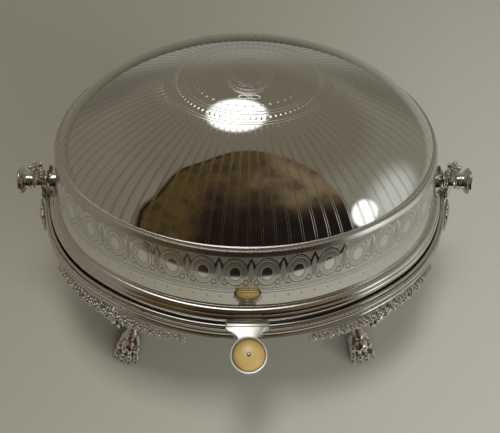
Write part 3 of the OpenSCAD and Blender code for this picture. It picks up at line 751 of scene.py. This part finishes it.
def make_leg(side_x, side_y, name, node):
    """Cast leg: paw with four toes and claws, slender ankle, and knee under the rim."""
    flip = Matrix.Diagonal((side_x, side_y, 1, 1))
    place = flip @ at_oval(LEG_FACING, 2.8, 0)
    bm = bmesh.new()
    heel, top = -17.8, EDGE_Z + RIM_LOW
    paw = place @ Matrix.Translation((heel, 0, 0)) @ Matrix.Rotation(math.radians(15), 4, "Z")
    for i in (-1.5, -0.5, 0.5, 1.5):
        tip = 26.6 - abs(i) * 1.8
        limb(bm, paw, [(8.0, i * 2.6, 15.5, 3.6), (tip - 12.0, i * 3.9, 12.0, 3.4),
                       (tip - 8.0, i * 4.6, 10.6, 3.5), (tip - 5.2, i * 5.0, 7.6, 2.5),
                       (tip - 2.4, i * 5.4, 5.8, 3.1), (tip - 0.4, i * 5.8, 3.6, 2.3)])
        limb(bm, paw, [(tip + 1.4, i * 6.1, 3.4, 1.5), (tip + 3.4, i * 6.3, 1.0, 0.7)], 1)
    limb(bm, paw, [(1.5, 0, 21, 4.4), (8.0, 0, 15.5, 5.8), (14.0, 0, 11.0, 6.4)])
    blob(bm, paw @ Matrix.Translation((8, 0, 4.2)), (9.5, 7.5, 4.1))
    limb(bm, place, [(heel + 2, 0, 9, 5.4), (heel, 0, 17, 5.0), (heel, 0, 27, 4.0),
                     (heel, 0, 37, 4.2), (heel + 4, 0, 48, 4.6), (-6.5, 0, 68, 5.4),
                     (-1.5, 0, top - 20, 6.4), (1.2, 0, top - 11, 7.0)])
    foot = piece(bm, name, "base", CAST, [node], sharp=60)
    remesh = foot.modifiers.new("cast", "REMESH")
    remesh.mode, remesh.voxel_size, remesh.use_smooth_shade = "VOXEL", 0.6 * MM, True
    smooth = foot.modifiers.new("smooth", "SMOOTH")
    smooth.factor, smooth.iterations = 0.4, 1
    make_garland(flip, top, name + "_garland", node)


def make_garland(flip, top, name, node):
    """Leaves on the knee and the garland under the rim: flowers, and leaves at every other one."""
    bm = bmesh.new()
    middle = walk_of(*oval_at(LEG_FACING, GARLAND_OUT), GARLAND_OUT) + 7.0
    knee = flip @ at_oval(facing_at(middle + 5, GARLAND_OUT), 9.0, top - 5.5)
    for lean, size in ((-55, 8.5), (55, 8.5), (-20, 10), (20, 10)):
        place = (knee @ Matrix.Rotation(math.radians(lean), 4, "X")
                 @ Matrix.Rotation(math.radians(75), 4, "Y"))
        leaf(bm, place, size, 4.6, 1.4, 0.6)
    for way in (-1, 1):
        for k in range(9):
            size = 5.3 - 0.27 * k
            facing = facing_at(middle + way * (3.2 + 6.4 * k), GARLAND_OUT)
            hang = 0.4 * k if way > 0 else 0.0
            here = flip @ at_oval(facing, 8.8 - 0.15 * k, top - size * 0.8 - 1.6 - hang)
            out = (here @ Matrix.Rotation(math.pi / 2 - 0.7, 4, "Y")
                   @ Matrix.Rotation(k * 1.3, 4, "Z"))
            for petal in range(4):
                lump = (Matrix.Rotation(petal * TURN / 4, 4, "Z")
                        @ Matrix.Translation((size * 0.52, 0, 0.2 * (petal % 2))))
                blob(bm, out @ lump, (size * 0.46, size * 0.38, size * 0.40))
            blob(bm, out @ Matrix.Translation((0, 0, size * 0.42)), (size * 0.34,) * 3)
            if k % 2 and k < 8:
                for lean in (65, 115, 245, 295):
                    place = (out @ Matrix.Rotation(math.radians(lean) - k * 1.3, 4, "Z")
                             @ Matrix.Translation((size * 0.6, 0, -0.8)))
                    leaf(bm, place, size * 1.1, size * 0.7, 0.8, 0.5)
    piece(bm, name, "base", CAST, [node], sharp=60)


def dress_solids():
    """The serving pieces inside keep their solids, with plate of their own."""
    for node in ("inner_frame", "liner", "drainer"):
        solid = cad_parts[node]
        solid.data.materials.clear()
        solid.data.materials.append(SOFT if node == "drainer" else POLISHED)


make_dome()
make_band()
make_edging()
make_dome_fillets()
make_bush(1, "leaf_bush_right")
make_bush(-1, "leaf_bush_left")
make_thumbpiece()
make_rim()
make_bowl()
make_knob(1, "turned_knob_right")
make_knob(-1, "turned_knob_left")
make_bracket(1, "cast_bracket_right")
make_bracket(-1, "cast_bracket_left")
make_leg(1, -1, "paw_leg_front_right", "leg_front_right")
make_leg(-1, -1, "paw_leg_front_left", "leg_front_left")
make_leg(1, 1, "paw_leg_back_right", "leg_back_right")
make_leg(-1, 1, "paw_leg_back_left", "leg_back_left")
dress_solids()


# ---------------------------------------------------------------- table, light and camera


# Colours of the paper, from left to right, with painted light: painted shade on its left and
# painted window light on its right; and of what is seen behind it.
PAPER_SHADED_LEFT, PAPER_LIT_RIGHT = (0.212, 0.202, 0.156), (0.308, 0.306, 0.268)
BACKDROP = (0.40, 0.395, 0.35)

# Colours of the room that the plate mirrors.
WALL_LEFT, WALL_RIGHT = (0.205, 0.188, 0.143), (0.240, 0.230, 0.175)
WALL_BACK, CORNER = (0.315, 0.312, 0.275), (0.10, 0.095, 0.075)
CEILING, DIM_LOW = (0.185, 0.165, 0.122), (0.016, 0.011, 0.009)
DIM_HIGH, DIM_LEFT = (0.085, 0.056, 0.024), (0.084, 0.053, 0.018)
DIM_RIGHT, DIM_GRAIN = (0.215, 0.155, 0.090), (0.012, 0.009, 0.008)
DIM_EDGE = (0.008, 0.007, 0.006)
GLOW, WINDOW, LAMP = (0.62, 0.64, 0.60), (1.7, 1.75, 1.75), (2.4, 2.4, 2.35)

# The photograph's view, found from the outline of the dish.
IMAGE_WIDTH, SENSOR_WIDTH, FOCAL_PX = 500, 36.0, 703.6
ELEVATION, ROLL, YAW = math.radians(56.66), math.radians(2.067), math.radians(2.434)
DISTANCE, TARGET = 578.4, (3.94, 0, -37.63 + EDGE_Z)


def make_table():
    """Plain paper on a table, with painted light: darker to the left in painted shade, lighter to
    the right; what mirrors it sees past its edges.
    """
    bm = bmesh.new()
    bmesh.ops.create_grid(bm, x_segments=1, y_segments=1, size=4.0)
    mesh = bpy.data.meshes.new("table")
    bm.to_mesh(mesh)
    bm.free()
    f = Finish("table_paper_painted_light", Roughness=0.85)
    x, y = f.place()[:2]
    # painted light: the paper's colour runs from painted shade on the left to painted window light
    # on the right
    across = f.step(x + y * -0.35, -330.0, 420.0)
    f.surface(f.blend(across, PAPER_SHADED_LEFT, PAPER_LIT_RIGHT))
    mirrored = Num(f, f.node("ShaderNodeLightPath").outputs["Is Glossy Ray"])
    front = f.step(f.length(x, y - 60), 361.0, 363.0) * f.step(y * -1, 40.0, 60.0)
    beyond = f.most(front, f.step(x, 700.0, 900.0), f.step(x * -1, 900.0, 1200.0))
    clear = f.node("ShaderNodeBsdfTransparent")
    mix = f.node("ShaderNodeMixShader", inputs={0: mirrored * beyond})
    f.feed(mix.inputs[1], f.shader.outputs[0])
    f.feed(mix.inputs[2], clear.outputs[0])
    f.feed(f.out.inputs["Surface"], mix.outputs[0])
    mesh.materials.append(f.material)
    table = bpy.data.objects.new("table", mesh)
    bpy.context.scene.collection.objects.link(table)


def make_room():
    """Room that the plate mirrors: walls, a dim side in front, a soft lamp above and a window."""
    world = bpy.data.worlds.new("room")
    bpy.context.scene.world = world
    world.use_nodes = True
    room = Nodes(world.node_tree)
    x, y, z = room.coordinates("Generated")
    side = room.blend(room.step(x, -0.7, 0.8), WALL_LEFT, WALL_RIGHT)
    low = room.blend(room.step(y, 0.80, 0.97), side, WALL_BACK)
    corner = room.within(y - 0.72, 0.14, 0.14) * (1 - room.step(z, 0.30, 0.55))
    low = room.blend(corner * 0.45, low, CORNER)
    walls = room.blend(room.step(z, 0.42, 0.72), low, CEILING)
    # the dim side, measured across and up in front of the dish
    depth = room.math("MAXIMUM", y * -1, 0.02)
    across, rise = x / depth, z / depth
    patch = room.noise(2.2, 2.0, "Generated") - 0.5
    fine = room.noise(6.0, 4.0, "Generated")
    upper = room.math("MAXIMUM", rise - 0.2, 0.0)
    edge = room.length(across / 1.05, upper / 2.3) + patch * 0.3
    dim = (1 - room.step(edge, 0.95, 1.02)) * room.step(y * -1, 0.0, 0.05)
    tone = room.blend(room.step(rise + patch * 1.6, 0.05, 1.0), DIM_LOW, DIM_HIGH)
    tone = room.blend(room.step(across * -1, 0.25, 0.5), tone, DIM_LEFT)
    warm = room.step(across + patch * 1.2, 0.15, 0.5) * room.step(rise, 0.25, 0.7)
    tone = room.blend(warm, tone, DIM_RIGHT)
    tone = room.blend(room.step(fine, 0.42, 0.70) * 0.6, tone, DIM_GRAIN)
    border = room.within(edge - 0.93, 0.018, 0.015) * room.step(across * -1, 0.1, 0.3)
    tone = room.blend(border, tone, DIM_EDGE)
    tone = room.blend(dim, walls, tone)
    # the window with the glow round it, and the lamp
    glow_r = room.length((x - 0.93) / 0.5, (y + 0.30) / 0.40, (z + 0.05) / 0.40)
    tone = room.blend(1 - room.step(glow_r, 0.30, 1.15), tone, GLOW)
    window_r = room.length((x - 0.785) / 0.11, (y + 0.618) / 0.13, (z + 0.03) / 0.20)
    lamp_r = room.length((x + 0.06) / 0.21, (y - 0.12) / 0.24)
    tone = room.blend(1 - room.step(window_r, 0.80, 1.15), tone, WINDOW)
    lamp = (1 - room.step(lamp_r, 0.80, 1.10)) * room.step(z, 0.0, 0.1)
    tone = room.blend(lamp, tone, LAMP)
    seen = Num(room, room.node("ShaderNodeLightPath").outputs["Is Camera Ray"])
    colour = room.blend(seen, tone, BACKDROP)
    lit = room.node("ShaderNodeBackground", inputs={"Color": colour})
    room.node("ShaderNodeOutputWorld", inputs={"Surface": lit.outputs[0]})


def area_light(name, place, target, size, power, colour=(1.0, 1.0, 1.0)):
    """A soft light that the plate doesn't mirror, facing its target; all in metres."""
    light = bpy.data.lights.new(name, "AREA")
    light.shape, light.size, light.size_y = "RECTANGLE", size[0], size[1]
    light.energy, light.color = power, colour
    obj = bpy.data.objects.new(name, light)
    bpy.context.scene.collection.objects.link(obj)
    away = Vector(place) - Vector(target)
    obj.matrix_world = Matrix.Translation(place) @ away.to_track_quat("Z", "Y").to_matrix().to_4x4()
    obj.visible_glossy = False


def make_camera():
    """Looks down at the dish from the front."""
    back = Vector((0, -math.cos(ELEVATION), math.sin(ELEVATION)))
    spot = Vector(TARGET) * MM + back * (DISTANCE * MM)
    right = Vector((1, 0, 0))
    up = back.cross(right)
    axes = Matrix((right, up, back)).transposed().to_4x4() @ Matrix.Rotation(ROLL, 4, "Z")
    camera = bpy.data.cameras.new("camera")
    camera.sensor_width = SENSOR_WIDTH
    camera.lens = SENSOR_WIDTH * FOCAL_PX / IMAGE_WIDTH
    obj = bpy.data.objects.new("camera", camera)
    bpy.context.scene.collection.objects.link(obj)
    obj.matrix_world = Matrix.Rotation(-YAW, 4, "Z") @ Matrix.Translation(spot) @ axes
    bpy.context.scene.camera = obj


make_table()
make_room()
area_light("top_window", (-0.06, 0.02, 1.5), (0, 0, 0.2), (0.50, 0.34), 14.0)
area_light("front_fill", (0.30, -1.05, 0.80), (0.05, -0.15, 0.0), (1.2, 0.8), 11.0)
area_light("side_window", (1.5, -1.05, 0.42), (0, 0, 0.15), (0.55, 0.6), 26.0, (0.96, 0.98, 1.0))
make_camera()
bpy.context.scene.view_settings.view_transform = "Standard"
